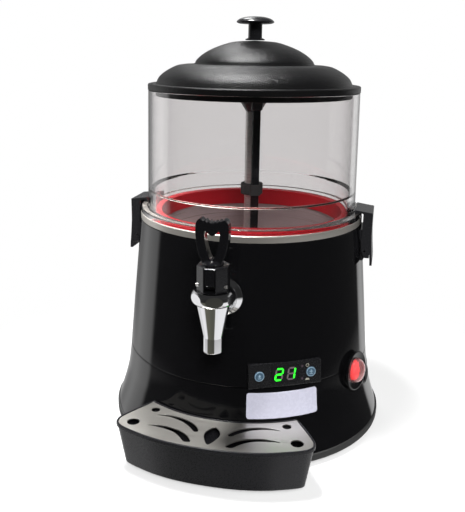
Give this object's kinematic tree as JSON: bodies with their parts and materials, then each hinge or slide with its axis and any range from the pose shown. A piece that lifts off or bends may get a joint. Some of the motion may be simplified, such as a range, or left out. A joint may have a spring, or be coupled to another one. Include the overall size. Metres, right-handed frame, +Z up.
{
  "type": "hot chocolate dispenser",
  "caption": "Free-standing heated drink dispenser: flared black housing, clear bowl with stirrer, domed lid, side latches, lever tap, control panel, lit switch and drip tray.",
  "frame": {"origin": "centre of the whole outline at floor level, under the feet", "axes": "+Z up, the tap and drip tray face -Y, +X to the machine's right-hand side as seen from the front; the body's own axis is the line x = 0, y = 0.0215"},
  "size_m": [0.299, 0.342, 0.427],
  "materials": {
    "base_plastic": "moulded matt black floor plate",
    "foot_rubber": "soft black rubber",
    "shell_black": "polished black housing",
    "band_steel": "brushed band",
    "inner_steel": "drawn stainless sheet",
    "machined_steel": "turned stainless",
    "gear_alloy": "die cast",
    "motor_paint": "black enamel",
    "bracket_steel": "zinc plated sheet",
    "smoke_plastic": "smoky grey hub",
    "bar_black": "glossy black bar",
    "stir_plastic": "satin black",
    "bowl_clear": "clear bowl wall",
    "gasket_red": "red silicone",
    "lid_black": "fine grained satin black",
    "knob_black": "smooth black",
    "latch_black": "satin black",
    "tap_chrome": "polished chrome",
    "tap_black": "black bonnet",
    "lever_black": "glossy black lever",
    "seal_rubber": "seal rubber",
    "tray_black": "dark grey black tray",
    "grille_steel": "brushed drip grille",
    "panel_black": "black control panel",
    "window_smoke": "dark display window",
    "key_blue": "blue grey key",
    "board_green": "circuit board",
    "rocker_red": "red lamp rocker",
    "boot_clear": "clear splash boot"
  },
  "bodies": {
    "housing": {"floor_plate": "base_plastic", "foot_front_right": "foot_rubber", "foot_back_right": "foot_rubber", "foot_back_left": "foot_rubber", "foot_front_left": "foot_rubber", "lower_shell": "shell_black", "upper_shell": "shell_black", "steel_band": "band_steel", "drink_pan": "inner_steel", "water_tank": "inner_steel", "heating_ring": "machined_steel", "drive_tube": "machined_steel", "gearbox": "gear_alloy", "stir_motor": "motor_paint", "motor_bracket": "bracket_steel", "clear_bowl": "bowl_clear", "bowl_gasket": "gasket_red", "latch_bracket_left": "latch_black", "latch_bracket_right": "latch_black", "latch_pin_left": "machined_steel", "latch_pin_right": "machined_steel", "tap_body": "tap_chrome", "tap_flange": "tap_chrome", "tap_lock_nut": "machined_steel", "shank_seal": "seal_rubber", "tap_bonnet": "tap_black", "tap_pivot_pin": "machined_steel", "tap_spring": "machined_steel", "control_panel": "panel_black", "display_window": "window_smoke", "control_board": "board_green", "switch_bezel": "panel_black", "switch_boot": "boot_clear", "cable_gland": "base_plastic", "drain_plug": "base_plastic"},
    "lid": {"lid": "lid_black", "lid_knob": "knob_black"},
    "stirrer": {"drive_shaft": "machined_steel", "stirrer_hub": "smoke_plastic", "stirrer_bar": "bar_black", "guide_clip": "stir_plastic", "stirrer_paddle": "stir_plastic"},
    "tap_handle": {"tap_lever": "lever_black"},
    "tap_valve": {"tap_stem": "machined_steel", "tap_seat_cup": "seal_rubber"},
    "latch_left": {"latch_left": "latch_black"},
    "latch_right": {"latch_right": "latch_black"},
    "tray": {"drip_tray": "tray_black"},
    "grille": {"tray_grille": "grille_steel"},
    "rocker": {"power_rocker": "rocker_red"},
    "button_left": {"panel_button_left": "key_blue"},
    "button_right": {"panel_button_right": "key_blue"}
  },
  "joints": [
    {"name": "lid_lift", "type": "slide", "parent": "housing", "child": "lid", "axis": [0, 0, 1], "range_m": [0, 0.08]},
    {"name": "stirrer_turn", "type": "hinge", "parent": "housing", "child": "stirrer", "pos_m": [0, 0.0215, 0.25], "axis": [0, 0, 1], "continuous": true},
    {"name": "tap_lever_pull", "type": "hinge", "parent": "housing", "child": "tap_handle", "pos_m": [0, -0.15, 0.198], "axis": [1, 0, 0], "range_deg": [0, 32], "stiffness_Nm_per_rad": 0.12, "springref_deg": -20.05},
    {"name": "tap_stem_lift", "type": "slide", "parent": "housing", "child": "tap_valve", "axis": [0, 0, 1], "range_m": [0, 0.0038], "stiffness_N_per_m": 0.02, "springref_m": 2.087, "deforming": ["tap_spring"]},
    {"name": "latch_left_swing", "type": "hinge", "parent": "housing", "child": "latch_left", "pos_m": [-0.124, 0.0215, 0.1965], "axis": [0, -1, 0], "range_deg": [0, 20]},
    {"name": "latch_right_swing", "type": "hinge", "parent": "housing", "child": "latch_right", "pos_m": [0.124, 0.0215, 0.1965], "axis": [0, 1, 0], "range_deg": [0, 20]},
    {"name": "tray_pull", "type": "slide", "parent": "housing", "child": "tray", "axis": [0, -1, 0], "range_m": [0, 0.07]},
    {"name": "grille_lift", "type": "slide", "parent": "tray", "child": "grille", "axis": [0, 0, 1], "range_m": [0, 0.03]},
    {"name": "rocker_tilt", "type": "hinge", "parent": "housing", "child": "rocker", "pos_m": [0.12188, -0.0315, 0.07744], "axis": [0.3987, 0.9171, 0], "range_deg": [0, 14]},
    {"name": "left_button_press", "type": "slide", "parent": "housing", "child": "button_left", "axis": [-0.455, 0.8853, -0.0958], "range_m": [0, 0.001], "stiffness_N_per_m": 300, "springref_m": -0.001},
    {"name": "right_button_press", "type": "slide", "parent": "housing", "child": "button_right", "axis": [-0.455, 0.8853, -0.0958], "range_m": [0, 0.001], "stiffness_N_per_m": 300, "springref_m": -0.001}
  ],
  "couplings": [
    {"joint": "tap_stem_lift", "follows": "tap_lever_pull", "m_per_rad": 0.0065}
  ]
}
